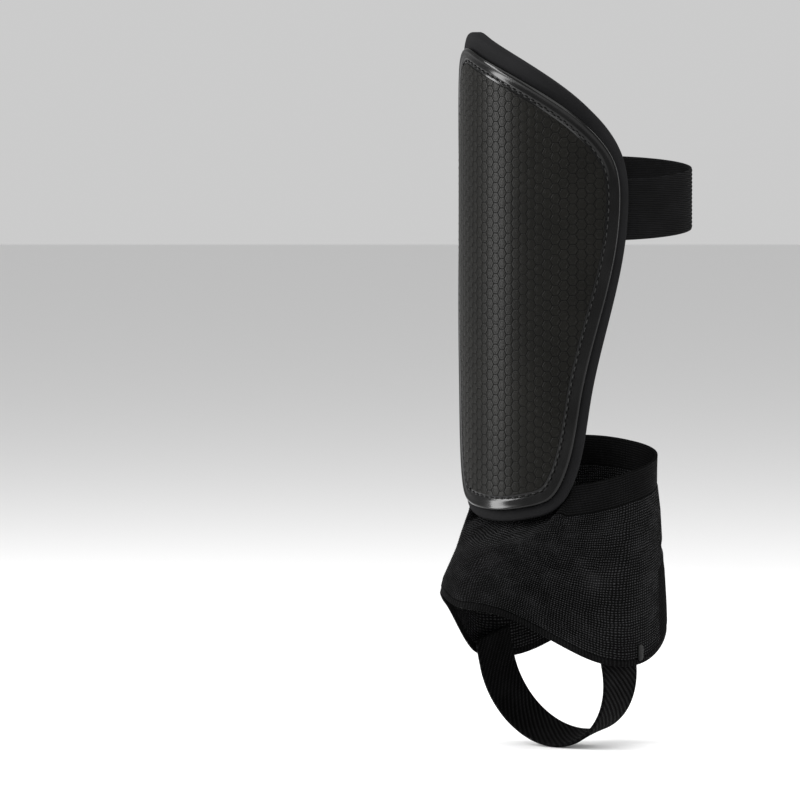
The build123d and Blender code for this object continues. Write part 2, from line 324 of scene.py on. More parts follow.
KNIT = cloth("knit", grey(0.0002), grey(0.030, 1.05), 1.5, 1.3, 0.0012, wander=3.2,
             ridge=1.2, gloss=0.05)
WELT = cloth("welt", grey(0.0008), grey(0.005, 1.05), 1.2, 0.8, 0.0002)
HEEL = cloth("heel", grey(0.0008), grey(0.003, 1.05), 0.9, 0.6, 0.00012)
TAPE = cloth("hem_tape", grey(0.0008), grey(0.006, 1.05), 0.8, 1.4, 0.0002)
ELASTIC = cloth("elastic", grey(0.002), grey(0.008, 1.08), 0.9, 0.55, 0.00015)
TWILL = cloth("twill", grey(0.0006), grey(0.007, 1.05), 0.9, 2.2, 0.0003, turn=radians(52),
              wander=0.8)
LINING = cloth("lining", grey(0.004), grey(0.012, 1.05), 0.8, 0.8, 0.00012)
PILE = cloth("pile", grey(0.004), grey(0.010, 1.05), 0.5, 0.5, 0.0003, turn=0.3, wander=3.0,
             sheen=0.2)
CLOTHS = (KNIT, WELT, HEEL, TAPE, ELASTIC, TWILL, LINING, PILE)
print("cloth finishes:", [finish.name for finish in CLOTHS])


# %% [markdown]
# ### Thread
# Thread is twisted from plies, so its light and dark change within a fraction of a
# millimetre. It shines more than cloth. Hook tape is nylon too, only darker.

# %% Thread and hook tape
def thread_finish(name, light):
    material, n, shader = start_finish(name)
    where = n("ShaderNodeTexCoord").outputs["Object"]
    ply = noise(n, where, 3800, 1)
    n.set(shader.inputs["Base Color"], colour_from(n, ply, grey(0.006), grey(light)))
    n.set(shader.inputs["Roughness"], n.between(ply, 0.3, 0.7, 0.4, 0.6))
    n.set(shader.inputs["Normal"], bump(n, ply, 0.00008, 0.8))
    shader.inputs["Specular IOR Level"].default_value = 0.15
    return material


THREAD = thread_finish("thread", 0.014)
HOOKS = thread_finish("hook_tape", 0.006)
print("thread finishes:", THREAD.name, HOOKS.name)


# %% [markdown]
# ## Meshes from points
# Most pieces here are skins over rings of points. A ring is a cross section, quads join it
# to the next one, and a fan closes each end. A closed mesh is what later steps need: its
# faces can all be turned outwards, and it has an inside.

# %% Meshes from rings
def add_mesh(name, points, faces, finish, smooth=True):
    mesh = bpy.data.meshes.new(name)
    mesh.from_pydata([tuple(p) for p in points], [], faces)
    mesh.polygons.foreach_set("use_smooth", [smooth] * len(mesh.polygons))
    mesh.materials.append(finish)
    mesh.update()
    piece = bpy.data.objects.new(name, mesh)
    bpy.context.collection.objects.link(piece)
    return piece


def face_out(piece):
    """Turns every face outwards on a closed mesh."""
    work = bmesh.new()
    work.from_mesh(piece.data)
    bmesh.ops.remove_doubles(work, verts=work.verts, dist=1e-7)
    bmesh.ops.recalc_face_normals(work, faces=work.faces)
    work.to_mesh(piece.data)
    work.free()
    return piece


def grid_faces(rows, columns, wrap):
    """Quads between rows of points; wrap joins the last column to the first."""
    faces = []
    for row in range(rows - 1):
        for column in range(columns if wrap else columns - 1):
            a = row * columns + column
            b = row * columns + (column + 1) % columns
            faces.append((a, b, b + columns, a + columns))
    return faces


def closed_skin(name, rings, finish):
    """A closed mesh through rings of points, with both ends filled by a fan."""
    count = len(rings[0])
    points = [p for ring in rings for p in ring]
    faces = grid_faces(len(rings), count, True)
    for first in (0, (len(rings) - 1) * count):
        middle = len(points)
        points.append(np.mean(points[first:first + count], axis=0))
        faces += [(first + i, first + (i + 1) % count, middle) for i in range(count)]
    return face_out(add_mesh(name, points, faces, finish))


print("a grid of 3 rows by 4 has", len(grid_faces(3, 4, True)), "faces when it is closed")

# %% [markdown]
# ## The pad's outline
# All the layers share one outline, laid out flat: across is the distance round the face
# and up is the height. The top slopes down towards one side, to clear the knee, and the
# lower end narrows to the ankle. A smooth closed curve runs through a few points, and
# each layer is this curve moved inwards by its border.

# %% One outline for every layer
OUTLINE = (
    (0, 0), (0.25, 0.010), (0.43, 0.028), (0.58, 0.088), (0.715, 0.26), (0.855, 0.42),
    (0.97, 0.56), (1.0, 0.64), (0.955, 0.75), (0.72, 0.84), (0.30, 0.92), (-0.06, 0.965),
    (-0.32, 0.990), (-0.50, 1.0), (-0.72, 0.965), (-0.85, 0.88), (-0.965, 0.75),
    (-1.0, 0.64), (-0.97, 0.55), (-0.87, 0.42), (-0.775, 0.26), (-0.69, 0.10),
    (-0.54, 0.026), (-0.28, 0.003),
)
ROUND = 420                          # points round an outline


def smooth_loop(points, count):
    """A closed cubic curve through the points, as evenly spaced points."""
    p = np.array(points, float)
    gap = np.linalg.norm(np.roll(p, -1, 0) - p, axis=1)
    system = np.zeros((len(p), len(p)))
    bend = np.zeros_like(p)
    for i in range(len(p)):
        after = (i + 1) % len(p)
        system[i, i - 1] += gap[i - 1]
        system[i, i] += 2 * (gap[i - 1] + gap[i])
        system[i, after] += gap[i]
        bend[i] = 6 * ((p[after] - p[i]) / gap[i] - (p[i] - p[i - 1]) / gap[i - 1])
    curl = np.linalg.solve(system, bend)
    t = np.linspace(0, 1, 60, endpoint=False)[:, None]
    line = []
    for i in range(len(p)):
        after = (i + 1) % len(p)
        part = gap[i] ** 2 / 6
        line.append(curl[i] * part * (1 - t) ** 3 + curl[after] * part * t ** 3
                    + (p[i] - curl[i] * part) * (1 - t)
                    + (p[after] - curl[after] * part) * t)
    return even_loop(np.concatenate(line), count)


def even_loop(line, count):
    """The same closed line as evenly spaced points."""
    closed = np.vstack([line, line[:1]])
    run = np.concatenate([[0], np.cumsum(np.linalg.norm(np.diff(closed, axis=0), axis=1))])
    at = np.linspace(0, run[-1], count, endpoint=False)
    return np.stack([np.interp(at, run, closed[:, k]) for k in (0, 1)], 1)


def inward(loop):
    along = np.roll(loop, -1, 0) - np.roll(loop, 1, 0)
    along /= np.linalg.norm(along, axis=1)[:, None]
    return np.stack([-along[:, 1], along[:, 0]], 1)


def inset(loop, side, top=None, bottom=None):
    """The loop moved inwards, by a gap that turns from the sides to the ends."""
    way = inward(loop)
    top = side if top is None else top
    bottom = side if bottom is None else bottom
    end = np.where(way[:, 1] < 0, top, bottom)
    gap = side * way[:, 0] ** 2 + end * way[:, 1] ** 2
    return loop + way * gap[:, None]


pad_loop = smooth_loop([(x * PAD_HALF, z * PAD_HEIGHT) for x, z in OUTLINE], ROUND)
plate_loop = inset(pad_loop, 5.0 * MM, top=8.0 * MM, bottom=5.5 * MM)
RIM_WIDTH = 5.0 * MM
CHANNEL = 2.4 * MM                   # the sewn groove between the rim and the facing
facing_loop = inset(plate_loop, RIM_WIDTH + CHANNEL)
print("outline points:", len(pad_loop))


# %% [markdown]
# ## From flat to curved
# A layer is drawn flat and then rolled round the leg, as the real one is moulded or bent
# from sheet. Distances round the face stay true at the rim's radius. A list of insets and
# radii gives the shape of a layer's edge, from its back to its face.

# %% Wrapping the outline round the leg
def curved(loop, radius):
    """Flat points laid on a cylinder of this radius."""
    turn = loop[:, 0] / RIM_RADIUS
    return np.stack([radius * np.sin(turn), -radius * np.cos(turn), loop[:, 1]], 1)


def shrunk(loop, share):
    middle = loop.mean(0)
    return middle + (loop - middle) * share


def curved_layer(name, loop, edge, finish):
    """A closed curved slab. edge lists (inset, radius) from its back to its face."""
    shares = np.linspace(0.02, 1, 18)
    back = inset(loop, edge[0][0])
    face = inset(loop, edge[-1][0])
    rings = [curved(shrunk(back, share), edge[0][1]) for share in shares[:-1]]
    rings += [curved(inset(loop, way), radius) for way, radius in edge]
    rings += [curved(shrunk(face, share), edge[-1][1]) for share in shares[-2::-1]]
    return closed_skin(name, rings, finish)


def edge_from(radius, stations):
    return [(way * MM, radius + out * MM) for way, out in stations]


# %% [markdown]
# ## Plate and foam
# The plate is moulded, so its rim ends in a round bead and falls in a shallow slope to
# the channel where it is sewn. The foam is cut from a sheet: its front edge is eased and
# it dips where the stitches pull the plate down.

# %% Plate, foam and lining
PLATE_EDGE = ((0.5, -2.0), (0.05, -1.7), (0.0, -0.9), (0.06, -0.3), (0.3, 0.18),
              (0.7, 0.48), (1.15, 0.6), (1.6, 0.55), (2.1, 0.38), (2.8, 0.26),
              (3.8, 0.22), (4.5, 0.20), (5.0, 0.14), (5.35, -0.06), (5.9, -0.24),
              (6.5, -0.24), (7.0, -0.1), (7.3, 0.0))
plate = curved_layer("plate", plate_loop, edge_from(PLATE_RADIUS, PLATE_EDGE), GLOSS)
foam_wall = (FOAM_RADIUS - FOAM_BACK) / MM
FOAM_EDGE = ((0.9, -foam_wall), (0.25, 0.3 - foam_wall), (0.0, 0.9 - foam_wall),
             (0.0, -1.5), (0.18, -0.75), (0.6, -0.22), (1.3, 0.0), (3.0, 0.0),
             (4.2, -0.12), (5.0, -0.3), (7.0, -0.3))
foam_pad = curved_layer("foam_body", pad_loop, edge_from(FOAM_RADIUS, FOAM_EDGE), FOAM)
LINING_EDGE = ((1.6, -0.8), (1.1, -0.7), (0.8, -0.4), (0.9, -0.02), (1.4, 0.0))
lining = curved_layer("lining_sheet", pad_loop, edge_from(FOAM_BACK, LINING_EDGE), LINING)
for piece, node, name in ((plate, "shell_plate", "plate_plastic"),
                          (foam_pad, "foam_pad", "foam"),
                          (lining, "inner_lining", "lining")):
    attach(piece, "guard")
    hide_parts(node)
print("plate, foam and lining:", [len(o.data.polygons) for o in (plate, foam_pad, lining)])

# %% [markdown]
# ## The printed cells
# The facing is a film with a pattern of six-sided cells, pressed with the plate. One cell
# is drawn once. Geometry Nodes puts it on a grid of points in which every other column
# is half a step lower, trims the pattern to the facing's outline, and then wraps it on
# the leg's cylinder. All of it happens in the flat layout, where the pattern is regular.

# %% The nodes that repeat and wrap
HEXAGON = 3 ** 0.5 / 2                # the step across over the step down, for six sides
CELL_STEP = 5.0 * MM                 # down a column of cells
COLUMN_STEP = CELL_STEP * HEXAGON
NEAR_EDGE = 2.4 * MM                 # a cell whose middle is this near is kept


def node_group(name, inputs):
    """An empty geometry group with named inputs."""
    group = bpy.data.node_groups.new(name, "GeometryNodeTree")
    group.interface.new_socket("Geometry", in_out="INPUT", socket_type="NodeSocketGeometry")
    for label, kind in inputs:
        group.interface.new_socket(label, in_out="INPUT", socket_type=kind)
    group.interface.new_socket("Geometry", in_out="OUTPUT", socket_type="NodeSocketGeometry")
    n = Nodes(group)
    return group, n, n("NodeGroupInput"), n("NodeGroupOutput")


def wrap_nodes(n, shape, radius, outline_radius):
    """Lays a flat shape on a cylinder: X runs round it, Y up, and Z is relief."""
    flat = n("ShaderNodeSeparateXYZ", n("GeometryNodeInputPosition").outputs[0]).outputs
    turn = n.math("DIVIDE", flat[0], outline_radius)
    reach = n.math("ADD", radius, flat[2])
    across = n.math("MULTIPLY", reach, n.math("SINE", turn))
    depth = n.math("MULTIPLY", n.math("COSINE", turn), n.math("MULTIPLY", reach, -1.0))
    place = n("ShaderNodeCombineXYZ", across, depth, flat[1]).outputs[0]
    return n("GeometryNodeSetPosition", shape, None, place).outputs[0]


def finish_group(n, shape, out, socket):
    painted = n("GeometryNodeSetMaterial", shape, None, socket).outputs[0]
    n.set(out.inputs[0], painted)


SIZES = [("Radius", "NodeSocketFloat"), ("Outline Radius", "NodeSocketFloat")]
THINGS = [("One", "NodeSocketObject"), ("Finish", "NodeSocketMaterial")]


def cell_nodes():
    """Cells over a flat outline, trimmed to it and wrapped."""
    group, n, given, out = node_group("cells_on_outline", [
        ("Step", "NodeSocketFloat"), ("Column Step", "NodeSocketFloat"),
        ("Width", "NodeSocketFloat"), ("Height", "NodeSocketFloat")] + SIZES + THINGS)
    i = {s.name: s for s in given.outputs}
    rows = n.math("CEIL", n.math("DIVIDE", i["Height"], i["Step"]))
    columns = n.math("CEIL", n.math("DIVIDE", i["Width"], i["Column Step"]))
    across = n.math("MULTIPLY", n.math("SUBTRACT", columns, 1.0), i["Column Step"])
    up = n.math("MULTIPLY", n.math("SUBTRACT", rows, 1.0), i["Step"])
    grid = n("GeometryNodeMeshGrid", across, up, columns, rows).outputs[0]
    index = n("GeometryNodeInputIndex").outputs[0]
    column = n.math("FLOOR", n.math("DIVIDE", n.math("ADD", index, 0.5), rows))
    drop = n.math("MULTIPLY", n.math("MODULO", column, 2.0), i["Step"])
    shift = n("ShaderNodeCombineXYZ", 0.0, n.math("MULTIPLY", drop, -0.5), 0.0).outputs[0]
    middle = n("ShaderNodeCombineXYZ", 0.0, n.math("MULTIPLY", i["Height"], 0.5), 0.0)
    grid = n("GeometryNodeSetPosition", grid, None, None, shift).outputs[0]
    grid = n("GeometryNodeSetPosition", grid, None, None, middle.outputs[0]).outputs[0]
    outside = n("FunctionNodeBooleanMath", over_outline(n, i["Geometry"]),
                operation="NOT").outputs[0]
    edge, gap = to_outline(n, i["Geometry"])
    far = n.math("GREATER_THAN", gap, NEAR_EDGE)
    lost = n("FunctionNodeBooleanMath", outside, far, operation="AND").outputs[0]
    points = n("GeometryNodeDeleteGeometry", grid, lost).outputs[0]
    one = n("GeometryNodeObjectInfo", i["One"]).outputs["Geometry"]
    cells = n("GeometryNodeInstanceOnPoints", points, named={"Instance": one}).outputs[0]
    cells = n("GeometryNodeRealizeInstances", cells).outputs[0]
    cells = n("GeometryNodeSetPosition", cells, outside, edge).outputs[0]
    finish_group(n, wrap_nodes(n, cells, i["Radius"], i["Outline Radius"]), out, i["Finish"])
    return group


def over_outline(n, shape):
    """True where a point lies over the flat outline."""
    place = n("GeometryNodeInputPosition").outputs[0]
    above = n("ShaderNodeVectorMath", place, (0, 0, 1), operation="ADD").outputs[0]
    ray = n("GeometryNodeRaycast", shape, named={
        "Source Position": above, "Ray Direction": (0, 0, -1), "Ray Length": 3.0})
    return ray.outputs["Is Hit"]


def to_outline(n, shape):
    """The nearest place on the outline, at the point's own relief, and how far it is."""
    place = n("GeometryNodeInputPosition").outputs[0]
    low = n("ShaderNodeVectorMath", place, (1, 1, 0), operation="MULTIPLY").outputs[0]
    near = n("GeometryNodeProximity", shape, named={"Sample Position": low},
             target_element="EDGES")
    flat = n("ShaderNodeSeparateXYZ", near.outputs["Position"]).outputs
    relief = n("ShaderNodeSeparateXYZ", place).outputs[2]
    spot = n("ShaderNodeCombineXYZ", flat[0], flat[1], relief).outputs[0]
    return spot, near.outputs["Distance"]


CELLS_GROUP = cell_nodes()
print("cell nodes:", len(CELLS_GROUP.nodes))


# %% One cell, and the outline that trims it
def one_cell():
    """A six-sided tile: eased edge, dished middle with a fainter cell in it."""
    rings = ((0.955, -0.10), (0.925, 0.10), (0.87, 0.17), (0.60, 0.20), (0.56, 0.13),
             (0.50, 0.13), (0.44, 0.19))
    corner = CELL_STEP / 2 / HEXAGON
    points = []
    for share, up in rings:
        for k in range(6):
            turn = radians(60 * k)
            points.append((share * corner * cos(turn), share * corner * sin(turn), up * MM))
    faces = grid_faces(len(rings), 6, True)
    last = (len(rings) - 1) * 6
    points.append((0, 0, 0.2 * MM))
    faces += [(last + k, last + (k + 1) % 6, len(points) - 1) for k in range(6)]
    return add_mesh("one_cell", points, faces, FILM, smooth=False)


def flat_outline(name, loop):
    """The loop as one flat face, for Geometry Nodes to test against."""
    points = [(x, z, 0) for x, z in loop]
    return add_mesh(name, points, [tuple(range(len(points)))], FILM)


def grown(name, base, group, values):
    """Runs a node group on the base once, and keeps the result as a plain mesh."""
    modifier = base.modifiers.new(name, "NODES")
    modifier.node_group = group
    for item in group.interface.items_tree:
        if item.item_type == "SOCKET" and item.name in values:
            modifier[item.identifier] = values[item.name]
    ready = base.evaluated_get(bpy.context.evaluated_depsgraph_get())
    mesh = bpy.data.meshes.new_from_object(ready)
    piece = bpy.data.objects.new(name, mesh)
    bpy.context.collection.objects.link(piece)
    bpy.data.objects.remove(base)
    return piece


tile = one_cell()
CELL_FLOOR = PLATE_RADIUS + 0.2 * MM
cells = grown("facing_cells", flat_outline("cell_field", inset(facing_loop, 0.15 * MM)),
              CELLS_GROUP,
              {"Step": CELL_STEP, "Column Step": COLUMN_STEP, "Width": 2.2 * PAD_HALF,
               "Height": 1.1 * PAD_HEIGHT, "Radius": CELL_FLOOR, "Outline Radius": RIM_RADIUS,
               "One": tile, "Finish": FILM})
bpy.data.objects.remove(tile)
FACING_EDGE = ((0.3, -0.1), (0.05, 0.02), (0.0, 0.1), (0.1, 0.2), (0.35, 0.2))
# The film under the cells shows only in the grooves; its dark finish is painted shade.
facing = curved_layer("facing_film", facing_loop, edge_from(PLATE_RADIUS, FACING_EDGE),
                      GROOVE_SHADE)
for piece in (cells, facing):
    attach(piece, "guard")
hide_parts("hex_facing")
print("cells:", len(cells.data.polygons), "faces")

# %% [markdown]
# ## Stitches
# A line of stitches is one thread, laid over and over: each stitch comes out of one needle
# hole, lies on the face and goes down the next. The same node group lays the threads and
# the holes along any line, turned to follow it.


# %% The nodes that lay stitches
def row_nodes():
    """Copies of one thing at even steps along a flat line, wrapped."""
    group, n, given, out = node_group("row_on_line", [
        ("Step", "NodeSocketFloat")] + SIZES + THINGS)
    i = {s.name: s for s in given.outputs}
    line = n("GeometryNodeMeshToCurve", i["Geometry"]).outputs[0]
    line = n("GeometryNodeResampleCurve", line, named={"Length": i["Step"]}, mode="LENGTH")
    points = n("GeometryNodeCurveToPoints", line.outputs[0], mode="EVALUATED").outputs
    along = n("FunctionNodeAlignRotationToVector", None, None, points["Tangent"], axis="X")
    one = n("GeometryNodeObjectInfo", i["One"]).outputs["Geometry"]
    row = n("GeometryNodeInstanceOnPoints", points["Points"],
            named={"Instance": one, "Rotation": along.outputs[0]}).outputs[0]
    row = n("GeometryNodeRealizeInstances", row).outputs[0]
    finish_group(n, wrap_nodes(n, row, i["Radius"], i["Outline Radius"]), out, i["Finish"])
    return group


ROW_GROUP = row_nodes()
print("row nodes:", len(ROW_GROUP.nodes))


# %% One stitch, one hole, and a row of them
STITCH_LENGTH = 2.6 * MM
HOLE_WIDTH = 0.55 * MM


def one_stitch(length, thick):
    """A thread that rises from one hole and sinks into the next."""
    rings = []
    for share in np.linspace(-1, 1, 9):
        rise = thick * (1.1 * (1 - share ** 2) ** 0.5 - 0.55)
        slim = thick * (0.35 + 0.3 * (1 - share ** 2) ** 0.5)
        middle = np.array([share * length / 2, 0, rise])
        rings.append([middle + (0, slim * cos(a), slim * sin(a))
                      for a in np.arange(6) * pi / 3])
    return closed_skin("one_stitch", rings, THREAD)


def one_hole(length, wide):
    """The dimple of pulled-in material at a stitch's end, in a dark finish that is painted
    shade.
    """
    rings = [[(length / 2 + r * wide * cos(a), 0.8 * r * wide * sin(a), up * MM)
              for a in np.arange(8) * pi / 4]
             for r, up in ((0.3, -0.2), (1.0, -0.1), (1.0, 0.02), (0.85, 0.05), (0.3, 0.0))]
    return closed_skin("one_hole", rings, GROOVE_SHADE)


def flat_line(name, points, closed):
    count = len(points)
    mesh = bpy.data.meshes.new(name)
    edges = [(k, (k + 1) % count) for k in range(count if closed else count - 1)]
    mesh.from_pydata([(x, z, 0) for x, z in points], edges, [])
    line = bpy.data.objects.new(name, mesh)
    bpy.context.collection.objects.link(line)
    return line


def stitch_row(name, points, closed, radius, step, thick=0.5 * MM):
    """Threads and needle holes along a line on a cylinder; returns both."""
    made = []
    for part, one, finish in (("threads", one_stitch(STITCH_LENGTH, thick), THREAD),
                              ("holes", one_hole(step, HOLE_WIDTH), GROOVE_SHADE)):
        made.append(grown(f"{name}_{part}", flat_line(name, points, closed), ROW_GROUP,
                          {"Step": step, "Radius": radius, "Outline Radius": RIM_RADIUS,
                           "One": one, "Finish": finish}))
        bpy.data.objects.remove(one)
    return made


# %% The row round the plate
STITCH_STEP = 4.0 * MM
stitch_loop = inset(plate_loop, RIM_WIDTH + CHANNEL / 2)
threads_round, holes_round = stitch_row("plate_stitch", stitch_loop, True,
                                        PLATE_RADIUS - 0.2 * MM, STITCH_STEP, 0.62 * MM)
for piece in (threads_round, holes_round):
    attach(piece, "guard")
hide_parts("plate_stitching")
print("stitches:", len(threads_round.data.polygons) // 60)

# %% [markdown]
# ## The calf strap
# A woven elastic with rubber ribs lengthwise. It is sewn flat inside one edge of the pad,
# passes behind the calf and ends in a tab of hook tape that grips a loop patch inside the
# other edge. It rises a little on its way round. Its path is a chain of points in plan, and
# its height comes from a tilted plane.

# %% Ribbons along a path
STRAP_TILT = radians(4.9)
STRAP_HEADING = radians(132.5)
STRAP_HALF = 15.0 * MM
STRAP_WALL = 1.6 * MM
SEWN_LENGTH = 16.0 * MM              # the flat end inside the pad
TAB_LENGTH = 26.0 * MM               # the far end, where the hook tab sits
SEWN_GAP = 0.02 * MM                 # between a sewn piece and what it lies on
JOINTS = {joint["name"]: joint for joint in frame["joints"]}
HINGE = Vector(JOINTS["strap_open"]["pos_m"])


def strap_middle(x, y):
    """Height of the strap's middle over a point in plan."""
    rise = tan(STRAP_TILT)
    from_hinge = (x - HINGE.x) * cos(STRAP_HEADING) + (y - HINGE.y) * sin(STRAP_HEADING)
    return HINGE.z + rise * from_hinge


def ribbon(name, path, profile, half, wall, finish):
    """A band on edge along a path in plan. profile gives its relief across its width."""
    path = np.array(path, float)
    along = np.gradient(path, axis=0)
    along /= np.linalg.norm(along, axis=1)[:, None]
    out = np.stack([along[:, 1], -along[:, 0]], 1)
    run = np.concatenate([[0], np.cumsum(np.linalg.norm(np.diff(path, axis=0), axis=1))])
    rings = []
    for k in range(len(path)):
        x, y = path[k]
        middle = strap_middle(x, y)
        ring = []
        for t, side in profile:
            reach = side * wall / 2
            ring.append((x + out[k, 0] * reach, y + out[k, 1] * reach, middle + t * half))
        rings.append(ring)
    piece = closed_skin(name, rings, finish)
    lay_uv(piece, lambda p: (nearest_run(p, path, run), p[2]))
    return piece


def nearest_run(point, path, run):
    gaps = (path[:, 0] - point[0]) ** 2 + (path[:, 1] - point[1]) ** 2
    return run[int(gaps.argmin())]


def lay_uv(piece, place):
    """A UV map in millimetres from each vertex's place."""
    at = np.array([place(v.co) for v in piece.data.vertices]) / MM
    layer = piece.data.uv_layers.new(name="cloth")
    corners = np.empty(len(piece.data.loops), int)
    piece.data.loops.foreach_get("vertex_index", corners)
    layer.data.foreach_set("uv", at[corners].ravel())


def band_profile(ribs, depth, steps=8):
    """Across a band: ribs on its outer face, flat inside, rounded edges."""
    outer = []
    for t in np.linspace(-0.985, 0.985, ribs * steps + 1):
        outer.append((t, 1 - depth * (0.5 + 0.5 * cos(pi * ribs * (t / 0.985 + 1)))))
    inner = [(t, -1.0) for t in np.linspace(0.985, -0.985, 2 * ribs + 1)]
    return outer + [(1.0, 0.6), (1.0, -0.6)] + inner + [(-1.0, -0.6), (-1.0, 0.6)]


def arc(radius, start, end, count):
    turns = np.radians(np.linspace(start, end, count))
    return [(radius * sin(t), -radius * cos(t)) for t in turns]


print("strap middle at the hinge:", round(strap_middle(HINGE.x, HINGE.y) / MM, 1), "mm")

# %% The strap's loop and its sewn end
STRAP_TURN = degrees(atan2(HINGE.x, -HINGE.y))
LOOP_WALL = 0.8 * MM
HOOK_WALL = 1.0 * MM
STRAP_GAP = 0.4 * MM
HOOK_SEAT = LINING_BACK - LOOP_WALL - STRAP_GAP - HOOK_WALL
STRAP_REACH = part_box("calf_strap")[1][1] - STRAP_WALL / 2


def calf_loop():
    """From the hinge behind the calf to the other edge, then inside it."""
    near = LINING_BACK - STRAP_GAP - STRAP_WALL / 2
    far = HOOK_SEAT - STRAP_WALL / 2
    lead = radians(STRAP_TURN + 0.8)     # just past the hinge
    start = (near * sin(lead), -near * cos(lead))
    tail = arc(far, -STRAP_TURN, -STRAP_TURN + degrees(TAB_LENGTH / far), 30)
    end = tail[0]
    ax, ay, bx, by = *start, *end
    # The circle through both ends and the point furthest behind the leg
    reach = STRAP_REACH
    system = np.array([[2 * (bx - ax), 2 * (by - ay)], [-2 * ax, 2 * (reach - ay)]])
    given = np.array([bx ** 2 + by ** 2 - ax ** 2 - ay ** 2, reach ** 2 - ax ** 2 - ay ** 2])
    cx, cy = np.linalg.solve(system, given)
    size = hypot(ax - cx, ay - cy)
    first = atan2(ay - cy, ax - cx)
    last = atan2(by - cy, bx - cx) + 2 * pi
    turns = np.linspace(first, last, 220)
    return [(cx + size * cos(t), cy + size * sin(t)) for t in turns] + tail[1:]


anchor_radius = LINING_BACK - SEWN_GAP - STRAP_WALL / 2
SEWN_TURN = degrees(SEWN_LENGTH / LINING_BACK)
sewn = arc(anchor_radius, STRAP_TURN - SEWN_TURN, STRAP_TURN - 1, 24)
RIBBED = band_profile(15, 0.34)
strap = ribbon("strap_band", sewn + calf_loop(), RIBBED, STRAP_HALF, STRAP_WALL, ELASTIC)
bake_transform(strap)
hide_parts("calf_strap", "strap_anchor")
print("strap:", len(strap.data.polygons), "faces")


# %% [markdown]
# ## Tape and stitches inside the pad
# The hook tab is sewn on the strap and the loop patch on the lining, so each rides on its
# own body. Both are ribbons with a plain profile. Two rows of stitches, made by the same
# node group as the plate's, hold the strap's sewn end.

# %% Hook tape, loop patch and the anchor's stitches
PATCH_HALF = 14 * MM
PATCH_START = 3.5 - STRAP_TURN       # a few degrees inside the strap's far bend


def patch(name, seat, wall, length, finish):
    """Tape sewn on a wall: a thin band with eased edges."""
    path = arc(seat - wall / 2, PATCH_START, PATCH_START + degrees(length / seat), 40)
    square = [(-1, 0.5), (-0.98, 1), (0.98, 1), (1, 0.5), (1, -0.6), (0.98, -1), (-0.98, -1),
              (-1, -0.6)]
    return ribbon(name, path, square, PATCH_HALF, wall, finish)


hooks = patch("hook_tab", HOOK_SEAT + HOOK_WALL, HOOK_WALL - SEWN_GAP, 22.5 * MM, HOOKS)
loops = patch("loop_tape", LINING_BACK - SEWN_GAP, LOOP_WALL - SEWN_GAP, 34 * MM, PILE)
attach(hooks, "strap")
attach(loops, "guard")
for piece, node, name in ((hooks, "hook_patch", "hook_tape"),
                          (loops, "loop_patch", "loop_pile")):
    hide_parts(node)
anchor_rows = []
for share in (0.25, 0.75):
    turn = radians(STRAP_TURN - share * SEWN_TURN)
    line = [(turn * RIM_RADIUS, HINGE.z + up * MM) for up in np.linspace(-11, 11, 23)]
    row = stitch_row(f"anchor_{round(100 * share)}", line, False,
                     LINING_BACK - STRAP_WALL - 0.3 * MM, STITCH_STEP)
    anchor_rows += row
for piece in anchor_rows:
    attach(piece, "guard")
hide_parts("anchor_stitching")
print("patches and", len(anchor_rows), "rows of stitches")

# %% [markdown]
# ## The ankle sleeve
# One tube of rib knit, with a smoother welt at its top, a finer panel at the heel and a
# taped lower edge. It is an oval in plan. Its front is tucked behind the pad, and under
# the pad it swells forward over the instep. All four pieces come from one grid of points
# and share their borders, so no gap opens between them. The rows follow the knitted
# courses, and every other row stands proud, which makes the courses real relief.

# %% The sleeve's form
# Height, half width, front and back: first behind the pad, then free in front of it
TUCKED = ((46, 40, -55.0, 30.5), (16, 40, -55.0, 30.5), (0, 41, -55.0, 33.0),
          (-14, 42, -58, 35.0), (-80, 42, -60, 43.0))
FREE = ((46, 40, -60, 30.5), (16, 40.3, -65, 30.5), (3, 41, -69, 33.0),
        (-14, 42, -78.5, 35.0), (-28, 42.2, -89, 37.8), (-44, 42, -95, 40.0),
        (-80, 41.5, -98, 43.0))
OVAL = 2.35                          # 2 is an ellipse, more is fuller at its shoulders
HEM = ((-99, -38), (-88, -43.5), (-70, -56), (-44, -68.5), (-20, -73.5), (2, -71.5),
       (20, -63), (44, -47))
KNIT_WALL = 1.4 * MM
AROUND = 260


def between_sections(sections, z):
    heights = [s[0] for s in sections][::-1]
    return [np.interp(z, heights, [s[k] for s in sections][::-1]) for k in (1, 2, 3)]


def oval_point(section, turn):
    half, front, back = section
    middle = (front + back) / 2
    deep = (back - front) / 2
    c, s = cos(turn), sin(turn)
    across = half * abs(s) ** (2 / OVAL) * (1 if s > 0 else -1)
    depth = deep * abs(c) ** (2 / OVAL) * (1 if c > 0 else -1)
    return across, middle - depth


def smooth(low, high, value):
    t = min(max((value - low) / (high - low), 0), 1)
    return t * t * (3 - 2 * t)


LOWER = sorted([(x * PAD_HALF / MM, z * PAD_HEIGHT / MM) for x, z in OUTLINE
                if z < 0.45], key=lambda p: p[0])


def pad_edge(turn_degrees):
    """Height of the pad's lower edge at a turn round the leg, up to the sleeve's rim."""
    arc_length = radians(turn_degrees) * RIM_RADIUS / MM
    return np.interp(arc_length, [p[0] for p in LOWER], [p[1] for p in LOWER])


def sleeve_point(turn, z):
    """A point of the sleeve's outer face, in millimetres."""
    x0, y0 = oval_point(between_sections(TUCKED, z), turn)
    x1, y1 = oval_point(between_sections(FREE, z), turn)
    look = degrees(atan2(x0, -y0))
    under = pad_edge(look) if abs(look) < 75 else 60
    free = smooth(0.5, 13, under - z)
    return x0 + (x1 - x0) * free, y0 + (y1 - y0) * free


def rim_height(x, y):
    """The top edge's height: a plane, a little lower at the front and to one side."""
    return 31.0 - 0.12 * x + 0.17 * y


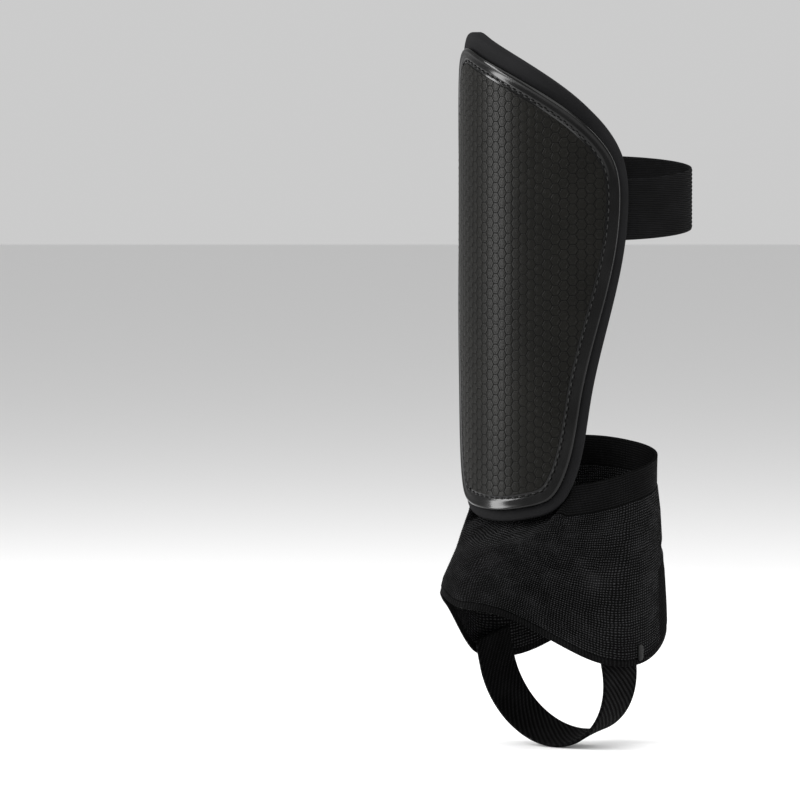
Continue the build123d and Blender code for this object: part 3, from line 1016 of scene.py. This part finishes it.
def fair_curve(points, count=80):
    """A smooth run through points, by averaging a fine copy of it."""
    y = np.linspace(points[0][0], points[-1][0], count)
    z = np.interp(y, [p[0] for p in points], [p[1] for p in points])
    for _ in range(60):
        z[1:-1] = (z[:-2] + 2 * z[1:-1] + z[2:]) / 4
    return y, z


HEM_CURVE = fair_curve(HEM)


def hem_height(x, y):
    """The lower edge's height: a saddle, drawn up a little at the front of one side."""
    even = np.interp(y, *HEM_CURVE)
    return even + 15 * smooth(0, 34, -x) * smooth(36, 66, -y)


print("lower edge between", HEM[4][1], "and", HEM[-1][1], "mm")

# %% The grid of courses and wales
def column_heights(turn):
    """The rim's and the hem's height for one column of the grid."""
    top, low = 30.0, -60.0
    for _ in range(12):
        top = 0.5 * (top + rim_height(*sleeve_point(turn, top)))
        low = 0.5 * (low + hem_height(*sleeve_point(turn, low)))
    return top, low


WELT_DEPTH = 15
WELT_ROWS = 20
HEM_DEPTH = 3.2
HEM_ROWS = 5
BODY_ROWS = 120
turns = np.linspace(0, 2 * pi, AROUND, endpoint=False)
spans = [column_heights(t) for t in turns]


def row_height(top, low, row):
    """Height of a row: the welt and the hem keep their own depth everywhere."""
    if row <= WELT_ROWS:
        return top - WELT_DEPTH * row / WELT_ROWS
    if row >= WELT_ROWS + BODY_ROWS:
        return low + HEM_DEPTH * (1 - (row - WELT_ROWS - BODY_ROWS) / HEM_ROWS)
    share = (row - WELT_ROWS) / BODY_ROWS
    return (top - WELT_DEPTH) * (1 - share) + (low + HEM_DEPTH) * share


ROWS = WELT_ROWS + BODY_ROWS + HEM_ROWS + 1
skin = np.empty((ROWS, AROUND, 3))
for row in range(ROWS):
    for column, (top, low) in enumerate(spans):
        z = row_height(top, low, row)
        skin[row, column] = (*sleeve_point(turns[column], z), z)
skin *= MM
for _ in range(3):                   # ease the shape round the grid
    skin[:, :, :2] = (np.roll(skin, 1, 1) + 2 * skin + np.roll(skin, -1, 1))[:, :, :2] / 4


def grid_normals(grid):
    round_leg = np.roll(grid, -1, 1) - np.roll(grid, 1, 1)
    down = np.gradient(grid, axis=0)
    out = np.cross(down, round_leg)
    return out / np.linalg.norm(out, axis=2)[:, :, None]


print("sleeve grid", skin.shape, "normal at the front",
      np.round(grid_normals(skin)[60, 0], 2))


# %% [markdown]
# ## Relief of the knit
# A stretched knit lies nearly smooth, but it puckers where the pad pulls at it and over the
# heel. Each pucker is a soft groove along a short line. Slow noise makes the rest uneven.
# The rows of courses sink every other row of the grid, so they are in the mesh.

# %% Creases, courses and seams in the sleeve
def dent(grid, centre, along, length, width, depth):
    """A crease: how far each point sinks near a short line."""
    way = np.array(along) / np.linalg.norm(along)
    gap = grid / MM - np.array(centre)
    down_it = gap @ way
    across = np.linalg.norm(gap - down_it[:, :, None] * way, axis=2)
    return depth * np.exp(-(across / width) ** 2 - (down_it / length) ** 4)


rng = np.random.default_rng(7)


def soft_noise(rows, columns, waves, size):
    """Slow unevenness that closes on itself round the tube."""
    v, u = np.mgrid[0:1:rows * 1j, 0:2 * pi * (1 - 1 / columns):columns * 1j]
    total = np.zeros((rows, columns))
    for _ in range(waves):
        k = rng.integers(1, 7)
        total += np.sin(k * u + rng.uniform(0, 6.3) + rng.uniform(-9, 9) * v)
    return size * total / waves ** 0.5


sink = soft_noise(ROWS, AROUND, 14, 0.28)
sink += dent(skin, (34, 20, -14), (0.8, -1.0, 0.25), 16, 2.2, 1.3)
sink += dent(skin, (36, 14, -20), (0.9, -1.0, 0.35), 14, 2.0, 0.7)
sink += dent(skin, (-34, 18, -12), (-0.8, -1.0, 0.2), 15, 2.4, 1.2)
sink += dent(skin, (20, -66, 0), (1, 0.5, 0.05), 14, 2.5, 0.8)
course = np.zeros(ROWS)
course[WELT_ROWS + 1:WELT_ROWS + BODY_ROWS:2] = -0.30
for border in (WELT_ROWS, WELT_ROWS + BODY_ROWS):
    course[border] = 0.35
sink += course[:, None]
edge_ease = np.minimum(1, np.arange(ROWS) / 8)[:, None]
normals = grid_normals(skin)
outer_skin = skin - normals * (sink * edge_ease * MM)[:, :, None]
inner_skin = skin - normals * (KNIT_WALL + 0.3 * (sink * edge_ease * MM))[:, :, None]
print("deepest crease", round(float(sink.max()), 2), "mm")


# %% [markdown]
# ## Four fabrics from one grid
# Welt, knit, heel panel and edge tape are chosen as cells of the one grid. Each becomes a
# closed wall with an outside, an inside and borders, and its UV map counts columns and
# rows, so the weave follows the knit.

# %% Cutting the grid into pieces
WALE_STEP = 1.13                     # mm between columns of the grid, on average
ROW_STEP = 0.75                      # mm between its rows


def sleeve_piece(name, mask, finish):
    """The chosen cells of the grid as a closed wall: outside, inside and borders."""
    count = ROWS * AROUND
    points = np.concatenate([outer_skin.reshape(-1, 3), inner_skin.reshape(-1, 3)])
    faces, borders = [], {}
    for row, column in zip(*np.nonzero(mask)):
        after = (column + 1) % AROUND
        a, b = row * AROUND + column, row * AROUND + after
        c, d = b + AROUND, a + AROUND
        faces.append((a, b, c, d))
        faces.append((d + count, c + count, b + count, a + count))
        for edge in ((a, b), (b, c), (c, d), (d, a)):
            if edge[::-1] in borders:
                del borders[edge[::-1]]
            else:
                borders[edge] = True
    faces += [(b, a, a + count, b + count) for a, b in borders]
    used = sorted({v for face in faces for v in face})
    new = {v: k for k, v in enumerate(used)}
    piece = add_mesh(name, points[used], [tuple(new[v] for v in f) for f in faces], finish)
    lay_sleeve_uv(piece, used, count)
    return piece


def lay_sleeve_uv(piece, used, count):
    """Across is the column and down is the row, both in millimetres of knit."""
    at = []
    for v in used:
        row, column = divmod(v % count, AROUND)
        at.append((column * WALE_STEP, -row * ROW_STEP))
    at = np.array(at)
    layer = piece.data.uv_layers.new(name="cloth")
    corners = np.empty(len(piece.data.loops), int)
    piece.data.loops.foreach_get("vertex_index", corners)
    uv = at[corners]
    faces = np.repeat(np.arange(len(piece.data.polygons)), 4)
    wide = np.zeros(len(piece.data.polygons))
    np.maximum.at(wide, faces, uv[:, 0])
    far = (wide[faces] > 0.9 * AROUND * WALE_STEP) & (uv[:, 0] < 0.5 * AROUND * WALE_STEP)
    uv[far, 0] += AROUND * WALE_STEP
    layer.data.foreach_set("uv", uv.ravel())


cell_row = np.mgrid[0:ROWS - 1, 0:AROUND][0]
heel_columns = skin[WELT_ROWS + BODY_ROWS, :, 1] / MM > 12
heel_row = WELT_ROWS + round(BODY_ROWS * 0.52)
in_welt = cell_row < WELT_ROWS
in_hem = cell_row >= WELT_ROWS + BODY_ROWS
in_heel = heel_columns[None, :] & (cell_row >= heel_row) & ~in_hem
welt = sleeve_piece("sleeve_welt", in_welt, WELT)
knit = sleeve_piece("sleeve_knit", ~in_welt & ~in_hem & ~in_heel, KNIT)
heel = sleeve_piece("heel_panel", in_heel, HEEL)
hem = sleeve_piece("lower_edge_tape", in_hem, TAPE)
for piece, nodes, name in (
        (welt, ("sleeve_top_welt",), "sleeve_welt"),
        (knit, ("sleeve_leg_tube", "ankle_flex_band", "foot_cuff"), "sleeve_knit"),
        (heel, ("heel_gusset",), "heel_fabric"), (hem, ("cuff_hem",), "hem_tape")):
    face_out(piece)
    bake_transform(piece)
    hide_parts(*nodes)
print("sleeve pieces:", [len(o.data.polygons) for o in (welt, knit, heel, hem)])

# %% [markdown]
# ## The stirrup
# A twill elastic that passes under the foot. Each end is sewn inside one lobe of the cuff
# under a knot of dense stitches. It hangs towards the heel, and it twists a little, since
# its two ends are not sewn quite level.

# %% Stirrup band and the knots that hold it
S_HINGE = Vector(JOINTS["stirrup_swing"]["pos_m"])
STIRRUP_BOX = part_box("stirrup_strap")
STIRRUP_WALL = 1.8
STIRRUP_HALF_WIDTH = 12.5
STIRRUP_HALF = STIRRUP_BOX[1][0] / MM - STIRRUP_WALL / 2
STIRRUP_TOP = -58
STIRRUP_LOW = -112.5
BOWL_DEPTH = 40
TWIST = 4.0                          # the two ends are shifted this far, opposite ways
CUPPING = 0.5                        # how far the band's middle sinks under the foot
SWING = radians(14.5)


def stirrup_path():
    """Down one leg, round and up the other, seen from the front, in millimetres."""
    spring = STIRRUP_LOW + BOWL_DEPTH
    legs = [(STIRRUP_HALF, z)
            for z in np.linspace(STIRRUP_TOP, spring, 14, endpoint=False)]
    bowl = [(STIRRUP_HALF * cos(t), spring + BOWL_DEPTH * sin(t))
            for t in np.linspace(0, -pi, 90)]
    return legs + bowl + [(-x, z) for x, z in legs[::-1]]


def stirrup():
    path = np.array(stirrup_path())
    along = np.gradient(path, axis=0)
    along /= np.linalg.norm(along, axis=1)[:, None]
    out = np.stack([-along[:, 1], along[:, 0]], 1)
    run = np.concatenate([[0], np.cumsum(np.linalg.norm(np.diff(path, axis=0), axis=1))])
    turn = Matrix.Rotation(SWING, 3, "X")
    across = [(t, 1.0) for t in np.linspace(-0.97, 0.97, 26)]
    across += [(1.0, 0.5), (1.0, -0.5)]
    across += [(t, -1.0) for t in np.linspace(0.97, -0.97, 26)]
    across += [(-1.0, -0.5), (-1.0, 0.5)]
    rings, flat = [], []
    for k, (x, z) in enumerate(path):
        share = run[k] / run[-1]
        shift = TWIST * cos(pi * share)
        cup = CUPPING * sin(pi * share)
        ring = []
        for t, side in across:
            reach = side * STIRRUP_WALL / 2 - cup * (1 - t * t)
            p = Vector((x + out[k, 0] * reach, shift + t * STIRRUP_HALF_WIDTH,
                        z + out[k, 1] * reach - S_HINGE.z / MM))
            ring.append(turn @ p * MM + Vector((0, S_HINGE.y, S_HINGE.z)))
            flat.append((run[k], t * STIRRUP_HALF_WIDTH))
        rings.append([np.array(p) for p in ring])
    return rings, flat


rings, flat = stirrup()
band = closed_skin("stirrup_band", rings, TWILL)
every = np.array([p for ring in rings for p in ring])


def stirrup_uv(place):
    return Vector(flat[int(((every - np.array(place)) ** 2).sum(1).argmin())]) * MM


lay_uv(band, stirrup_uv)
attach(band, "stirrup")
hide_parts("stirrup_strap")
print("stirrup from", [round(v / MM) for v in STIRRUP_BOX[0]], "mm")

# %% [markdown]
# ## Knots and the sleeve's stitches
# A machine winds the thread to and fro over each sewn end, which leaves a hard lumpy bar.
# Its size comes from the frame. Two rows of stitches hold the sleeve to the lining.


# %% Knots and rows
def knot(name, node):
    """A dense bar of thread, wound over the sewn end: a lumpy rounded block."""
    low, high = (Vector(v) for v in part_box(node))
    middle = (low + high) / 2
    size = (high - low) / 2
    rings = []
    for share in np.linspace(-1, 1, 29):
        swell = (1 - abs(share) ** 5) ** 0.5 if abs(share) < 1 else 0.2
        wound = 1 + 0.10 * cos(share * 14 * pi)
        rings.append([middle + Vector((size.x * 1.05 * swell * wound * cos(a),
                                       size.y * swell * wound * sin(a), share * size.z))
                      for a in np.arange(16) * pi / 8])
    piece = closed_skin(name, rings, THREAD)
    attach(piece, "cuff")
    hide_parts(node)
    return piece


knots = [knot("knot_left", "bartack_left"), knot("knot_right", "bartack_right")]
SLEEVE_STEP = 4.8 * MM
SLEEVE_FACE = LINING_BACK - 3.4 * MM     # the sleeve's inner face, where it is sewn
sleeve_rows = []
for height in (5.0, 11.0):
    line = [(turn * MM, height * MM) for turn in np.linspace(-24, 24, 13)]
    sleeve_rows += stitch_row(f"sleeve_row_{round(height)}", line, False, SLEEVE_FACE,
                              SLEEVE_STEP)
for piece in sleeve_rows:
    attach(piece, "guard")
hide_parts("sleeve_stitching")
print(len(knots), "knots and", len(sleeve_rows), "pieces of sleeve stitches")

# %% [markdown]

# %% [markdown]
# ## Floor and light
# A pale, plain floor lies just under the guard's lowest point. A tall narrow light far to
# the camera's left draws one upright highlight on the curved face, and another far to its
# right marks the opposite edge. Two broad ones, by the camera and overhead, keep the blacks
# readable. The plain view transform leaves them dark.


# %% Floor
def pale_floor(level):
    material, n, shader = start_finish("pale_floor")
    shader.inputs["Base Color"].default_value = (0.82, 0.82, 0.82, 1)
    shader.inputs["Roughness"].default_value = 0.9
    floor = add_mesh("floor", [(-6, -6, level), (6, -6, level), (6, 6, level), (-6, 6, level)],
                     [(0, 1, 2, 3)], material, smooth=False)
    floor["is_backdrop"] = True
    return floor


def lowest():
    return min(v.co.z for v in band.data.vertices)


floor = pale_floor(lowest() - 0.0002)
print("floor at", round(lowest() / MM, 1), "mm")


# %% Lights
def soft_light(name, azimuth, elevation, distance, width, height, power, aim=(0, 0, 0.08)):
    """An area light round the leg: azimuth 0 is in front, on -Y, and it faces its aim."""
    data = bpy.data.lights.new(name, "AREA")
    data.shape = "RECTANGLE"
    data.size, data.size_y = width, height
    data.energy = power
    lamp = bpy.data.objects.new(name, data)
    bpy.context.collection.objects.link(lamp)
    right, up, back = view_axes(azimuth, elevation)
    turn = Matrix((right, up, back)).transposed()
    place = Vector(aim) + back * distance
    lamp.matrix_world = Matrix.Translation(place) @ turn.to_4x4()
    return lamp


LIGHTS = (
    ("key_strip", -46, 12, 1.3, 0.34, 1.6, 34),
    ("front_fill", 30, 35, 1.6, 1.2, 1.2, 16),
    ("right_strip", 112, 18, 1.2, 0.35, 1.4, 14),
    ("top", 20, 80, 1.5, 1.6, 1.6, 18),
)
for values in LIGHTS:
    soft_light(*values)
world = bpy.data.worlds.new("world")
bpy.context.scene.world = world
world.use_nodes = True
backdrop = world.node_tree.nodes["Background"]
backdrop.inputs["Color"].default_value = (1, 1, 1, 1)
backdrop.inputs["Strength"].default_value = 0.6
bpy.context.scene.view_settings.view_transform = "Standard"
print("lights:", [values[0] for values in LIGHTS])

# %% [markdown]
# ## Size of the finished pieces
# The overall box of the finished pieces is printed, in millimetres.

# %% The finished pieces' box
low = Vector((9, 9, 9))
high = -low
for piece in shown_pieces():
    for corner in piece.bound_box:
        place = piece.matrix_world @ Vector(corner)
        low = Vector(map(min, low, place))
        high = Vector(map(max, high, place))
print("visual box, mm:", [round(v / MM, 1) for v in low], [round(v / MM, 1) for v in high])
